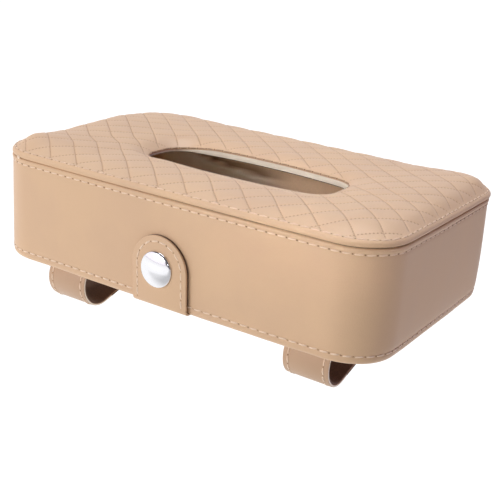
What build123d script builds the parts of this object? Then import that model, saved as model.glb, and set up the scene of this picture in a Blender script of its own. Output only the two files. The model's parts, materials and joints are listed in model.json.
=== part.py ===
from build123d import *
import os
from math import cos, degrees, radians, sin, tan

# Padded car tissue holder: a stiff box covered in soft leather, with a quilted lid round a
# long slot, a bottom door hinged at the rear, a snap tab that holds the door shut, and two
# straps under it that loop round a sun visor.
# Millimetres. The origin is the middle of the underside, +X runs along the box, -Y is the
# front with the snap tab, +Z is up.

os.makedirs("parts", exist_ok=True)

# Case outline, seen from above: four slightly bowed sides and round corners
case_length = 230.0
case_depth = 142.0
wall_height = 54.0
side_bow = 1.5
end_bow = 0.6
corner_radius = 24.5

# Layers
leather = 1.0
wall_board_thickness = 2.2
lining = 0.8
glue_line = 0.05
hem_radius = 1.8

# Lid
piping_height = 1.4
piping_overhang = 0.5
piping_depth = 1.6
lid_board_thickness = 2.0
quilted_skin = 2.0
crown_height = 8.2
stitch_shoulder_inset = 2.6
stitch_shoulder_height = 3.3
roll_width = 14.0
channel_width = 1.0
channel_depth = 0.9
# Each set of quilting channels as spacing, angle, and where one of them crosses the X axis
channel_sets = (
    (12.4, -43.5, 9.0),
    (12.0, 45.0, -3.5),
)

# Tissue slot in the lid
slot_length = 114.0
slot_width = 42.0
slot_side_bow = 4.0
slot_end_bow = 1.5
slot_corner_radius = 16.4
slot_centre_y = -6.5
lip_width = 9.0
slot_frame_thickness = 1.2
slot_frame_recess = 0.4
slot_frame_drop = 0.2

# Bottom door
door_gap = 0.8
door_board_thickness = 2.0

# Rear hinge strip
hinge_length = 170.0
hinge_leaf = 0.8
hinge_door_leaf_width = 9.0
hinge_wall_leaf_height = 12.0
hinge_running_gap = 0.4
door_swing = 120.0

# Snap tab
tab_width = 33.6
tab_centre_x = 1.0
tab_leather_thickness = 1.2
tab_backing_thickness = 1.0
tab_backing_start = 4.0
tab_root_length = 20.0
wall_clearance = 0.3
tab_swing = 135.0

# Magnetic snap
snap_height = 18.2
snap_cap_diameter = 18.6
snap_cap_rim = 0.9
snap_cap_rise = 3.0
snap_disc_diameter = 15.0
snap_stem_diameter = 4.0
snap_fit = 0.05
snap_washer_thickness = 0.6
snap_washer_diameter = 13.0

# Visor straps
strap_spacing = 152.0
strap_width = 25.0
strap_leather_thickness = 1.2
strap_backing_thickness = 0.8
strap_loop_radius = 13.9
strap_loop_y = -43.7
strap_anchor_length = 30.0
strap_rise = 17.5
strap_flat_length = 26.0
strap_fold_gap = 0.5
strap_swing = 105.0
patch_thickness = 1.0
patch_length = 22.0
patch_width = 20.0

# Places that follow from the sizes above
board_inset = leather + glue_line
lining_inset = board_inset + wall_board_thickness + glue_line
cavity_inset = lining_inset + lining
door_inset = cavity_inset + door_gap
front_face = -(case_depth / 2 + side_bow)
rear_face = case_depth / 2 + side_bow
lid_board_base = wall_height + glue_line
lid_board_top = lid_board_base + lid_board_thickness
skin_base = wall_height + piping_height + glue_line
crown_top = wall_height + crown_height
lip_base = lid_board_top + leather + glue_line


def bowed_panel(length, depth, long_bow, short_bow, radius, grow=0.0):
    """Flat panel with bowed sides and round corners, grown outwards or, below 0, inwards."""
    long_radius = (length**2 / 4 + long_bow**2) / (2 * long_bow)
    short_radius = (depth**2 / 4 + short_bow**2) / (2 * short_bow)
    long_centre = long_radius - depth / 2 - long_bow
    short_centre = short_radius - length / 2 - short_bow
    with BuildSketch() as panel:
        with Locations((0, long_centre)):
            Circle(long_radius + grow)
        with Locations((0, -long_centre)):
            Circle(long_radius + grow, mode=Mode.INTERSECT)
        with Locations((short_centre, 0)):
            Circle(short_radius + grow, mode=Mode.INTERSECT)
        with Locations((-short_centre, 0)):
            Circle(short_radius + grow, mode=Mode.INTERSECT)
        fillet(panel.vertices(), radius + grow)
    return panel.sketch


def case_panel(inset=0.0):
    """The case's outline, drawn in by the inset."""
    return bowed_panel(case_length, case_depth, side_bow, end_bow, corner_radius, -inset)


def slot_panel(outset=0.0):
    """The tissue slot's outline, let out by the outset."""
    straight_length = slot_length - 2 * slot_end_bow
    straight_width = slot_width - 2 * slot_side_bow
    outline = bowed_panel(
        straight_length, straight_width, slot_side_bow, slot_end_bow, slot_corner_radius, outset
    )
    return outline.moved(Location((0, slot_centre_y, 0)))


# Wall: leather cover with its turned-in hem, stiff board, and cloth lining
with BuildPart() as wall_cover:
    with BuildSketch():
        add(case_panel())
    extrude(amount=wall_height)
    with BuildSketch(Plane.XY.offset(leather)):
        add(case_panel(leather))
    extrude(amount=wall_height, mode=Mode.SUBTRACT)
    with BuildSketch():
        add(case_panel(cavity_inset))
    extrude(amount=leather, mode=Mode.SUBTRACT)
    fillet(wall_cover.faces().sort_by(Axis.Z)[0].outer_wire().edges(), hem_radius)
    with BuildSketch(Plane.XZ.offset(-front_face)):
        with Locations((0, snap_height)):
            Circle(snap_disc_diameter / 2 + snap_fit)
    extrude(amount=-leather - side_bow, mode=Mode.SUBTRACT)
wall_cover.part.label = "wall_cover"
export_step(wall_cover.part, "parts/wall_cover.step")

with BuildPart() as wall_board:
    with BuildSketch(Plane.XY.offset(leather + glue_line)):
        add(case_panel(board_inset))
        add(case_panel(board_inset + wall_board_thickness), mode=Mode.SUBTRACT)
    extrude(amount=wall_height - leather - glue_line)
    with BuildSketch(Plane.XZ.offset(-front_face)):
        with Locations((0, snap_height)):
            Circle(snap_stem_diameter / 2 + snap_fit)
    extrude(amount=-cavity_inset, mode=Mode.SUBTRACT)
wall_board.part.label = "wall_board"
export_step(wall_board.part, "parts/wall_board.step")

with BuildPart() as wall_lining:
    with BuildSketch(Plane.XY.offset(leather + glue_line)):
        add(case_panel(lining_inset))
        add(case_panel(cavity_inset), mode=Mode.SUBTRACT)
    extrude(amount=wall_height - leather - glue_line)
    with BuildSketch(Plane.XZ.offset(-front_face)):
        with Locations((0, snap_height)):
            Circle(snap_stem_diameter / 2 + snap_fit)
    extrude(amount=-cavity_inset - glue_line, mode=Mode.SUBTRACT)
wall_lining.part.label = "wall_lining"
export_step(wall_lining.part, "parts/wall_lining.step")

# Round bead sewn into the seam between the wall and the lid
with BuildPart() as seam_piping:
    with BuildSketch(Plane.XY.offset(wall_height + glue_line)):
        add(case_panel(-piping_overhang))
        add(case_panel(piping_depth - piping_overhang), mode=Mode.SUBTRACT)
    extrude(amount=piping_height - glue_line)
    top_rim = seam_piping.faces().sort_by(Axis.Z)[-1].outer_wire().edges()
    low_rim = seam_piping.faces().sort_by(Axis.Z)[0].outer_wire().edges()
    fillet(top_rim + low_rim, piping_height * 0.45)
seam_piping.part.label = "seam_piping"
export_step(seam_piping.part, "parts/seam_piping.step")

# Lid: board, cloth lining under it, foam, and the quilted skin drawn down to the seam
lid_board_inset = piping_depth - piping_overhang + glue_line
frame_outset = slot_frame_recess + slot_frame_thickness + glue_line
frame_base = wall_height - lining - slot_frame_drop

with BuildPart() as lid_board:
    with BuildSketch(Plane.XY.offset(lid_board_base)):
        add(case_panel(lid_board_inset))
        add(slot_panel(frame_outset), mode=Mode.SUBTRACT)
    extrude(amount=lid_board_thickness)
lid_board.part.label = "lid_board"
export_step(lid_board.part, "parts/lid_board.step")

with BuildPart() as lid_lining:
    with BuildSketch(Plane.XY.offset(wall_height - lining)):
        add(case_panel(cavity_inset + glue_line))
        add(slot_panel(frame_outset), mode=Mode.SUBTRACT)
    extrude(amount=lining)
lid_lining.part.label = "lid_lining"
export_step(lid_lining.part, "parts/lid_lining.step")

with BuildPart() as slot_frame:
    with BuildSketch(Plane.XY.offset(frame_base)):
        add(slot_panel(slot_frame_recess + slot_frame_thickness))
        add(slot_panel(slot_frame_recess), mode=Mode.SUBTRACT)
    extrude(amount=lid_board_top - frame_base)
slot_frame.part.label = "slot_frame"
export_step(slot_frame.part, "parts/slot_frame.step")

# The padded lid's cross-section from the seam inwards, as inset and height, and from the
# slot's lip outwards, as outset and height
lid_roll = [
    (0.3, skin_base),
    (0.9, skin_base + 0.6 * (wall_height + stitch_shoulder_height - skin_base)),
    (stitch_shoulder_inset, wall_height + stitch_shoulder_height),
    (0.4 * roll_width, wall_height + 0.74 * crown_height),
    (0.65 * roll_width, wall_height + 0.92 * crown_height),
    (roll_width, crown_top),
]
lip_roll = [
    (0.0, lip_base),
    (0.12 * lip_width, lip_base + 0.42 * (crown_top - lip_base)),
    (0.35 * lip_width, lip_base + 0.75 * (crown_top - lip_base)),
    (0.65 * lip_width, lip_base + 0.93 * (crown_top - lip_base)),
    (lip_width, crown_top + glue_line),
]


def padded_lid(skin, drop):
    """The padded lid's form, thinner by a skin all round and lowered by a drop."""
    with BuildPart() as form:
        for inset, height in lid_roll:
            with BuildSketch(Plane.XY.offset(height - skin - drop)):
                add(case_panel(inset + skin))
        loft(ruled=True)
    with BuildPart() as funnel:
        for outset, height in lip_roll:
            with BuildSketch(Plane.XY.offset(height - skin - drop)):
                add(slot_panel(outset + skin))
        loft(ruled=True)
        with BuildSketch(Plane.XY.offset(wall_height - crown_height)):
            add(slot_panel(skin))
        extrude(amount=lip_base - skin - drop - wall_height + crown_height)
    with BuildPart() as pillow:
        add(form)
        add(funnel, mode=Mode.SUBTRACT)
    return pillow.part


def channel_walls():
    """Upright walls that stand where the quilting channels run, down to the channels' floor."""
    reach = case_length + case_depth
    with BuildPart() as walls:
        with BuildSketch(Plane.XY.offset(lip_base)):
            for spacing, angle, start in channel_sets:
                step = spacing / abs(sin(radians(angle)))
                count = int(reach / 2 / step) + 1
                places = [
                    Location((start + k * step, 0, 0), (0, 0, angle)) for k in range(-count, count + 1)
                ]
                with Locations(*places):
                    Rectangle(reach, channel_width)
            add(case_panel(stitch_shoulder_inset + channel_width), mode=Mode.INTERSECT)
            add(slot_panel(2 * channel_width), mode=Mode.SUBTRACT)
        extrude(amount=crown_height)
        add(padded_lid(0.0, channel_depth), mode=Mode.SUBTRACT)
    return walls.part


with BuildPart() as lid_padding:
    add(padded_lid(quilted_skin + glue_line, 0.0))
    split(bisect_by=Plane.XY.offset(lid_board_top + glue_line), keep=Keep.TOP)
lid_padding.part.label = "lid_padding"
export_step(lid_padding.part, "parts/lid_padding.step")

with BuildPart() as foam_space:
    add(padded_lid(quilted_skin, 0.0))
    split(bisect_by=Plane.XY.offset(lid_board_top), keep=Keep.TOP)

with BuildPart() as lid_cover:
    add(padded_lid(0.0, 0.0))
    with BuildSketch(Plane.XY.offset(lid_board_base)):
        add(case_panel(lid_board_inset - glue_line))
    extrude(amount=lid_board_thickness + glue_line, mode=Mode.SUBTRACT)
    add(foam_space.part, mode=Mode.SUBTRACT)
    add(channel_walls(), mode=Mode.SUBTRACT)
lid_cover.part.label = "lid_cover"
export_step(lid_cover.part, "parts/lid_cover.step")

# Bottom door: leather outside, board, and cloth lining inside
door_board_base = leather + glue_line
door_lining_base = door_board_base + door_board_thickness + glue_line
for name, base, thickness in (
    ("door_cover", 0.0, leather),
    ("door_board", door_board_base, door_board_thickness),
    ("door_lining", door_lining_base, lining),
):
    with BuildPart() as sheet:
        with BuildSketch(Plane.XY.offset(base)):
            add(case_panel(door_inset))
        extrude(amount=thickness)
    sheet.part.label = name
    export_step(sheet.part, f"parts/{name}.step")

# Rear hinge strip: one leaf on the door, one wrapped round the rear wall's lower edge, and
# the axis in the middle of the strip's thickness
hinge_axis_y = rear_face - cavity_inset - door_gap / 2
hinge_axis_z = -glue_line - hinge_leaf / 2

with BuildPart() as rear_hinge_door_leaf:
    with BuildSketch(Plane.YZ):
        with Locations((hinge_axis_y - hinge_door_leaf_width / 2, hinge_axis_z)):
            Rectangle(hinge_door_leaf_width, hinge_leaf)
        with Locations((hinge_axis_y, hinge_axis_z)):
            Circle(hinge_leaf / 2)
    extrude(amount=hinge_length / 2, both=True)
rear_hinge_door_leaf.part.label = "rear_hinge_door_leaf"
export_step(rear_hinge_door_leaf.part, "parts/rear_hinge_door_leaf.step")

hinge_wall_leaf_start = hinge_axis_y + hinge_leaf / 2 + hinge_running_gap
with BuildPart() as rear_hinge_wall_leaf:
    with BuildSketch(Plane.XY.offset(-glue_line - hinge_leaf)):
        add(case_panel(-glue_line - hinge_leaf))
    extrude(amount=hinge_leaf + glue_line + hinge_wall_leaf_height)
    with BuildSketch(Plane.XY.offset(-glue_line)):
        add(case_panel(-glue_line))
    extrude(amount=hinge_wall_leaf_height + 2 * glue_line, mode=Mode.SUBTRACT)
    with BuildSketch(Plane.XY.offset(-hinge_leaf - 2 * glue_line)):
        with Locations((0, hinge_wall_leaf_start)):
            Rectangle(hinge_length, case_depth, align=(Align.CENTER, Align.MIN))
    extrude(amount=2 * hinge_wall_leaf_height, mode=Mode.INTERSECT)
rear_hinge_wall_leaf.part.label = "rear_hinge_wall_leaf"
export_step(rear_hinge_wall_leaf.part, "parts/rear_hinge_wall_leaf.step")

# Snap tab: the tongue's root is sewn under the door, and the rest turns up round the front
# wall's lower edge about an axis in the middle of its leather
tab_inner_face = front_face - wall_clearance
tab_leather_inner = tab_inner_face - tab_backing_thickness - glue_line
tab_outer_face = tab_leather_inner - tab_leather_thickness
tab_nose = tab_leather_thickness / 2
tab_axis_y = tab_leather_inner - tab_nose
tab_axis_z = -wall_clearance - tab_nose
tab_round_height = snap_height

with BuildPart() as tab_root:
    with BuildSketch(Plane.XY.offset(tab_axis_z - tab_nose)):
        with Locations((tab_centre_x, tab_axis_y + tab_nose + wall_clearance)):
            Rectangle(tab_width, tab_root_length, align=(Align.CENTER, Align.MIN))
    extrude(amount=tab_leather_thickness)
tab_root.part.label = "tab_root"
export_step(tab_root.part, "parts/tab_root.step")

with BuildPart() as tab_leather:
    with BuildSketch(Plane.XZ.offset(-tab_leather_inner)):
        with Locations((tab_centre_x, tab_axis_z)):
            Rectangle(tab_width, tab_round_height - tab_axis_z, align=(Align.CENTER, Align.MIN))
        with Locations((tab_centre_x, tab_round_height)):
            Circle(tab_width / 2)
    extrude(amount=tab_leather_thickness)
    with BuildSketch(Plane.YZ.offset(tab_centre_x)):
        with Locations((tab_axis_y, tab_axis_z)):
            Circle(tab_nose)
    extrude(amount=tab_width / 2, both=True)
    with BuildSketch(Plane.XZ.offset(-tab_leather_inner)):
        with Locations((0, snap_height)):
            Circle(snap_stem_diameter / 2 + snap_fit)
    extrude(amount=tab_leather_thickness, mode=Mode.SUBTRACT)
tab_leather.part.label = "tab_leather"
export_step(tab_leather.part, "parts/tab_leather.step")

with BuildPart() as tab_backing:
    with BuildSketch(Plane.XZ.offset(-tab_inner_face)):
        with Locations((tab_centre_x, tab_backing_start)):
            Rectangle(
                tab_width, tab_round_height - tab_backing_start, align=(Align.CENTER, Align.MIN)
            )
        with Locations((tab_centre_x, tab_round_height)):
            Circle(tab_width / 2)
        with Locations((0, snap_height)):
            Circle(snap_disc_diameter / 2 + snap_fit, mode=Mode.SUBTRACT)
    extrude(amount=tab_backing_thickness)
tab_backing.part.label = "tab_backing"
export_step(tab_backing.part, "parts/tab_backing.step")

# Magnetic snap: domed cap and magnet on the tab, plate and washer on the front wall
with BuildPart() as snap_magnet:
    with BuildSketch(Plane.XZ.offset(-tab_inner_face)):
        with Locations((0, snap_height)):
            Circle(snap_disc_diameter / 2)
            Circle(snap_stem_diameter / 2 + snap_fit, mode=Mode.SUBTRACT)
    extrude(amount=tab_backing_thickness)
snap_magnet.part.label = "snap_magnet"
export_step(snap_magnet.part, "parts/snap_magnet.step")

cap_base = tab_outer_face - glue_line
cap_rim_face = cap_base - snap_cap_rim
cap_radius = snap_cap_diameter / 2
cap_dome = snap_cap_rise - snap_cap_rim
cap_ball_radius = (cap_radius**2 + cap_dome**2) / (2 * cap_dome)
with BuildPart() as snap_cap:
    with BuildSketch(Plane.YZ):
        with BuildLine():
            Polyline(
                (cap_base - snap_cap_rise, snap_height),
                (tab_inner_face, snap_height),
                (tab_inner_face, snap_height + snap_stem_diameter / 2),
                (cap_base, snap_height + snap_stem_diameter / 2),
                (cap_base, snap_height + cap_radius),
                (cap_rim_face, snap_height + cap_radius),
            )
            RadiusArc(
                (cap_rim_face, snap_height + cap_radius),
                (cap_base - snap_cap_rise, snap_height),
                -cap_ball_radius,
            )
        make_face()
    revolve(axis=Axis((0, 0, snap_height), (0, 1, 0)))
snap_cap.part.label = "snap_cap"
export_step(snap_cap.part, "parts/snap_cap.step")

plate_face = front_face + glue_line
washer_face = front_face + cavity_inset + glue_line
with BuildPart() as snap_plate:
    with BuildSketch(Plane.XZ.offset(-plate_face)):
        with Locations((0, snap_height)):
            Circle(snap_disc_diameter / 2)
    extrude(amount=-(leather - glue_line))
    with BuildSketch(Plane.XZ.offset(-plate_face)):
        with Locations((0, snap_height)):
            Circle(snap_stem_diameter / 2)
    extrude(amount=-(washer_face + snap_washer_thickness - plate_face))
snap_plate.part.label = "snap_plate"
export_step(snap_plate.part, "parts/snap_plate.step")

with BuildPart() as snap_washer:
    with BuildSketch(Plane.XZ.offset(-washer_face)):
        with Locations((0, snap_height)):
            Circle(snap_washer_diameter / 2)
            Circle(snap_stem_diameter / 2 + snap_fit, mode=Mode.SUBTRACT)
    extrude(amount=-snap_washer_thickness)
snap_washer.part.label = "snap_washer"
export_step(snap_washer.part, "parts/snap_washer.step")

# Visor straps, drawn from the side as y and z. Each is sewn flat under the door, turns down
# in a round loop, and its tail rises back to a hook-and-loop patch near the rear
strap_thickness = strap_leather_thickness + glue_line + strap_backing_thickness
loop_z = -glue_line - strap_loop_radius
fold_radius = strap_loop_radius - strap_thickness / 2
fold_angle = 270.0 + strap_rise
fold_y = strap_loop_y + fold_radius * cos(radians(fold_angle))
fold_z = loop_z + fold_radius * sin(radians(fold_angle))
loop_end_angle = fold_angle - degrees((strap_thickness / 2 + strap_fold_gap) / fold_radius)
loop_backing_radius = strap_loop_radius - strap_leather_thickness - glue_line
anchor_end_y = strap_loop_y + strap_anchor_length
patch_base = -glue_line - patch_thickness
hook_base = patch_base - wall_clearance - patch_thickness
tail_z = hook_base - glue_line - strap_thickness / 2
tail_run = (tail_z - fold_z) / tan(radians(strap_rise))
bend_y = fold_y + tail_run
tail_end_y = bend_y + strap_flat_length
patch_centre_y = tail_end_y - patch_length / 2 - 2 * leather


def arc_point(radius, angle):
    """A point on a circle round the strap loop's centre, as y and z."""
    return (strap_loop_y + radius * cos(radians(angle)), loop_z + radius * sin(radians(angle)))


def loop_layer(outer, thickness):
    """Side view of one layer of the sewn end and the round loop."""
    inner = outer - thickness
    sweep_angle = loop_end_angle - 90.0
    with BuildSketch() as layer:
        with BuildLine():
            Line((anchor_end_y, loop_z + outer), (strap_loop_y, loop_z + outer))
            CenterArc((strap_loop_y, loop_z), outer, 90.0, sweep_angle)
            Line(arc_point(outer, loop_end_angle), arc_point(inner, loop_end_angle))
            CenterArc((strap_loop_y, loop_z), inner, 90.0, sweep_angle)
            Line((strap_loop_y, loop_z + inner), (anchor_end_y, loop_z + inner))
            Line((anchor_end_y, loop_z + inner), (anchor_end_y, loop_z + outer))
        make_face()
    return layer.sketch


def tail_layer(above, below, start):
    """Side view of one layer of the tail, between two heights off its middle."""
    along = (cos(radians(strap_rise)), sin(radians(strap_rise)))
    lean = tan(radians(strap_rise / 2))

    def first(height):
        return (
            fold_y + start * along[0] - height * along[1],
            fold_z + start * along[1] + height * along[0],
        )

    with BuildSketch() as layer:
        with BuildLine():
            Polyline(
                first(above),
                (bend_y - above * lean, tail_z + above),
                (tail_end_y, tail_z + above),
                (tail_end_y, tail_z + below),
                (bend_y - below * lean, tail_z + below),
                first(below),
                close=True,
            )
        make_face()
    return layer.sketch


tail_half = strap_thickness / 2
for side, middle in (("left", -strap_spacing / 2), ("right", strap_spacing / 2)):
    side_plane = Plane.YZ.offset(middle)
    with BuildPart() as strap_loop_leather:
        with BuildSketch(side_plane):
            add(loop_layer(strap_loop_radius, strap_leather_thickness))
        extrude(amount=strap_width / 2, both=True)
    strap_loop_leather.part.label = f"{side}_strap_loop_leather"
    export_step(strap_loop_leather.part, f"parts/{side}_strap_loop_leather.step")

    with BuildPart() as strap_loop_backing:
        with BuildSketch(side_plane):
            add(loop_layer(loop_backing_radius, strap_backing_thickness))
        extrude(amount=strap_width / 2, both=True)
    strap_loop_backing.part.label = f"{side}_strap_loop_backing"
    export_step(strap_loop_backing.part, f"parts/{side}_strap_loop_backing.step")

    with BuildPart() as strap_tail_leather:
        with BuildSketch(side_plane):
            add(tail_layer(-tail_half + strap_leather_thickness, -tail_half, 0.0))
            with Locations((fold_y, fold_z)):
                Circle(tail_half)
        extrude(amount=strap_width / 2, both=True)
    strap_tail_leather.part.label = f"{side}_strap_tail_leather"
    export_step(strap_tail_leather.part, f"parts/{side}_strap_tail_leather.step")

    with BuildPart() as strap_tail_backing:
        with BuildSketch(side_plane):
            add(tail_layer(tail_half, tail_half - strap_backing_thickness, tail_half + glue_line))
        extrude(amount=strap_width / 2, both=True)
    strap_tail_backing.part.label = f"{side}_strap_tail_backing"
    export_step(strap_tail_backing.part, f"parts/{side}_strap_tail_backing.step")

    for patch_name, base in (("loop_patch", patch_base), ("hook_patch", hook_base)):
        with BuildPart() as patch:
            with BuildSketch(Plane.XY.offset(base)):
                with Locations((middle, patch_centre_y)):
                    Rectangle(patch_width, patch_length)
            extrude(amount=patch_thickness)
        patch.part.label = f"{side}_{patch_name}"
        export_step(patch.part, f"parts/{side}_{patch_name}.step")

# Joint axes and limits, for the record
print(f"door hinge: y {hinge_axis_y:.3f}, z {hinge_axis_z:.3f}, swing {door_swing}")
print(f"tab fold: y {tab_axis_y:.3f}, z {tab_axis_z:.3f}, swing {tab_swing}")
print(f"strap fold: y {fold_y:.3f}, z {fold_z:.3f}, swing {strap_swing}")
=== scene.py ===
import json
import math
import bpy
import bmesh
from mathutils import Matrix, Vector, noise


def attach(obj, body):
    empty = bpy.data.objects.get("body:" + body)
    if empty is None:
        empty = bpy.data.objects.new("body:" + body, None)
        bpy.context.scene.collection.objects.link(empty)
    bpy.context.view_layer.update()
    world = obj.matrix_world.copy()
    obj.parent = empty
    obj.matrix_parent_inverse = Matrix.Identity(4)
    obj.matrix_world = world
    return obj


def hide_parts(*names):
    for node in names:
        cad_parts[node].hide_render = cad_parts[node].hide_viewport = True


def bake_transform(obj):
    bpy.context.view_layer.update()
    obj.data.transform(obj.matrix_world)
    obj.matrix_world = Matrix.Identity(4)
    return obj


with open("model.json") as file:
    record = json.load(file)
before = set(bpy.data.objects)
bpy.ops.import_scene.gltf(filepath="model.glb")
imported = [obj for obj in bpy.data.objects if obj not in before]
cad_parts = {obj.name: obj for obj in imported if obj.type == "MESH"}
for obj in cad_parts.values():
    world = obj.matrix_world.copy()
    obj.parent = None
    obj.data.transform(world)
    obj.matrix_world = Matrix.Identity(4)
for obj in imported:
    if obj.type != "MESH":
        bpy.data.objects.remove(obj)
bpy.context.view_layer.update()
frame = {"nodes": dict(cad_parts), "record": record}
scene = bpy.context.scene
mm = 0.001


# camera at the photograph's angle, which also carries the small tilt the holder has there
photoCamera = {
    "place": (0.2603, -0.4108, 0.1804),
    "yaw": 0.555,
    "pitch": 0.338,
    "roll": 0.080,
    "lens": 67.49,
    "sensor": 36.0,
}


def placeCamera(look):
    lens = bpy.data.cameras.new("photoCamera")
    lens.lens = look["lens"]
    lens.sensor_width = look["sensor"]
    lens.clip_start = 0.01
    lens.clip_end = 50.0
    camera = bpy.data.objects.new("photoCamera", lens)
    scene.collection.objects.link(camera)
    turn = Matrix.Rotation(look["yaw"], 4, "Z")
    turn = turn @ Matrix.Rotation(math.radians(90) - look["pitch"], 4, "X")
    turn = turn @ Matrix.Rotation(look["roll"], 4, "Z")
    camera.matrix_world = Matrix.Translation(look["place"]) @ turn
    scene.camera = camera


placeCamera(photoCamera)
print("camera placed")


# shader sums written as Python expressions
class Wire:
    def __init__(self, finish, socket):
        self.finish = finish
        self.socket = socket

    def __add__(self, other):
        return self.finish.sum("ADD", self, other)

    __radd__ = __add__

    def __sub__(self, other):
        return self.finish.sum("SUBTRACT", self, other)

    def __rsub__(self, other):
        return self.finish.sum("SUBTRACT", other, self)

    def __mul__(self, other):
        return self.finish.sum("MULTIPLY", self, other)

    __rmul__ = __mul__

    def __truediv__(self, other):
        return self.finish.sum("DIVIDE", self, other)

    def __rtruediv__(self, other):
        return self.finish.sum("DIVIDE", other, self)

    def __pow__(self, other):
        return self.finish.sum("POWER", self, other)


class Finish:
    def __init__(self, name, **fixed):
        self.material = bpy.data.materials.new(name)
        self.material.use_nodes = True
        self.tree = self.material.node_tree
        self.shader = self.tree.nodes["Principled BSDF"]
        for socket, value in fixed.items():
            self.shader.inputs[socket.replace("_", " ")].default_value = value

    def feed(self, socket, value):
        if isinstance(value, Wire):
            self.tree.links.new(value.socket, socket)
        else:
            socket.default_value = value

    def node(self, kind, settings=None, out=0, **sockets):
        made = self.tree.nodes.new(kind)
        for key, value in (settings or {}).items():
            setattr(made, key, value)
        for key, value in sockets.items():
            name = key.replace("_", " ")
            self.feed(made.inputs[int(name[1:]) if name[0] == "i" and name[1:].isdigit() else name], value)
        return Wire(self, made.outputs[out])

    def sum(self, operation, first, second=0.0):
        return self.node("ShaderNodeMath", {"operation": operation}, i0=first, i1=second)

    def place(self):
        return self.node("ShaderNodeTexCoord", out="Object")

    def axes(self, place):
        return [self.node("ShaderNodeSeparateXYZ", out=k, i0=place) * 1000.0 for k in range(3)]

    def noise(self, place, scale, detail=2.0, roughness=0.5):
        return self.node("ShaderNodeTexNoise", out=0, Vector=place, Scale=scale, Detail=detail, Roughness=roughness)

    def cells(self, place, scale, feature="F1", randomness=1.0):
        return self.node("ShaderNodeTexVoronoi", {"feature": feature}, Vector=place, Scale=scale, Randomness=randomness)

    def ease(self, value, start, end, low=0.0, high=1.0):
        return self.node(
            "ShaderNodeMapRange", {"interpolation_type": "SMOOTHSTEP"},
            Value=value, From_Min=start, From_Max=end, To_Min=low, To_Max=high,
        )

    def blendColour(self, amount, first, second):
        return self.node(
            "ShaderNodeMix", {"data_type": "RGBA"}, out=2,
            i0=amount, i6=first, i7=second,
        )

    def bump(self, height, depth, strength=1.0, after=None):
        sockets = {"Height": height, "Distance": depth, "Strength": strength}
        if after is not None:
            sockets["Normal"] = after
        return self.node("ShaderNodeBump", **sockets)

    def use(self, **sockets):
        for key, value in sockets.items():
            self.feed(self.shader.inputs[key.replace("_", " ")], value)
        return self.material


def tone(red, green, blue):
    # a colour picked as on a screen, 0 to 255, made linear
    return tuple(((c / 255 + 0.055) / 1.055) ** 2.4 for c in (red, green, blue)) + (1.0,)


def shade(colour, share):
    return tuple(c * share for c in colour[:3]) + (1.0,)


leatherLook = {
    "tan": tone(212, 176, 141),
    "warm": tone(216, 180, 143),
    "grain": 1500.0,
    "grainDepth": 0.00009,
    "wrinkle": 210.0,
    "roughness": 0.47,
}


def leatherBase(name, look):
    f = Finish(name, Specular_IOR_Level=0.45, Sheen_Weight=0.06, Sheen_Roughness=0.4)
    place = f.place()
    pores = f.cells(place, look["grain"])
    wrinkle = f.noise(place, look["wrinkle"], 4.0, 0.6)
    patch = f.noise(place, 26.0, 3.0, 0.55)
    height = pores * 0.7 + wrinkle * 0.5
    colour = f.blendColour(f.ease(patch, 0.35, 0.65), look["tan"], look["warm"])
    colour = f.blendColour(f.ease(pores, 0.05, 0.35, 0.10, 0.0), colour, shade(look["tan"], 0.6))
    return f, place, height, colour, patch


def makeLeather(name, look):
    f, place, height, colour, patch = leatherBase(name, look)
    normal = f.bump(height, look["grainDepth"], 0.55)
    rough = look["roughness"] + f.ease(patch, 0.3, 0.7, -0.04, 0.05)
    return f.use(Base_Color=colour, Roughness=rough, Normal=normal)


quiltLook = {
    "sets": ((12.4, -43.5, 9.0), (12.0, 45.0, -3.5)),  # spacing, angle, crossing of the X axis
    "holePitch": 1.7,
    # colour of the painted shade in the quilting's creases and needle holes
    "paintedShade": tone(158, 112, 80),
}


def makeQuiltedLeather(name, look, quilt):
    f, place, height, colour, patch = leatherBase(name, look)
    x, y, z = f.axes(place)
    sewn = f.node("ShaderNodeAttribute", {"attribute_name": "quilting"}, out=2)
    y = y - f.node("ShaderNodeAttribute", {"attribute_name": "quiltDrawn"}, out=2)
    lines = []
    for spacing, angle, start in quilt["sets"]:
        c, s = math.cos(math.radians(angle)), math.sin(math.radians(angle))
        across = (x - start) * -s + y * c
        along = (x - start) * c + y * s
        off = f.sum("PINGPONG", across, spacing / 2)
        hole = f.sum("PINGPONG", along, quilt["holePitch"] / 2)
        lines.append((off, (off * off + hole * hole) ** 0.5))
    # the first set shows as fine creases, the second as rows of needle holes; besides their relief both are painted
    # darker, as painted shade in the creases and holes
    groove = f.ease(lines[0][0], 0.45, 0.08) * sewn
    shallow = f.ease(lines[1][0], 0.8, 0.1) * sewn
    holes = f.ease(lines[1][1], 0.6, 0.28) * sewn
    faintHoles = f.ease(lines[0][1], 0.45, 0.2) * sewn
    dark = f.sum("MAXIMUM", groove * 0.34, holes * 0.6)
    dark = f.sum("MAXIMUM", dark, shallow * 0.04)
    dark = f.sum("MAXIMUM", dark, faintHoles * 0.6)
    colour = f.blendColour(dark, colour, quilt["paintedShade"])
    relief = groove * -0.5 - shallow * 0.05 - holes * 0.6 - faintHoles * 0.2
    normal = f.bump(relief, 0.0003, 0.7, f.bump(height, look["grainDepth"], 0.5))
    rough = look["roughness"] + f.ease(patch, 0.3, 0.7, -0.04, 0.05) + dark * 0.15
    return f.use(Base_Color=colour, Roughness=rough, Normal=normal)


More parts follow.
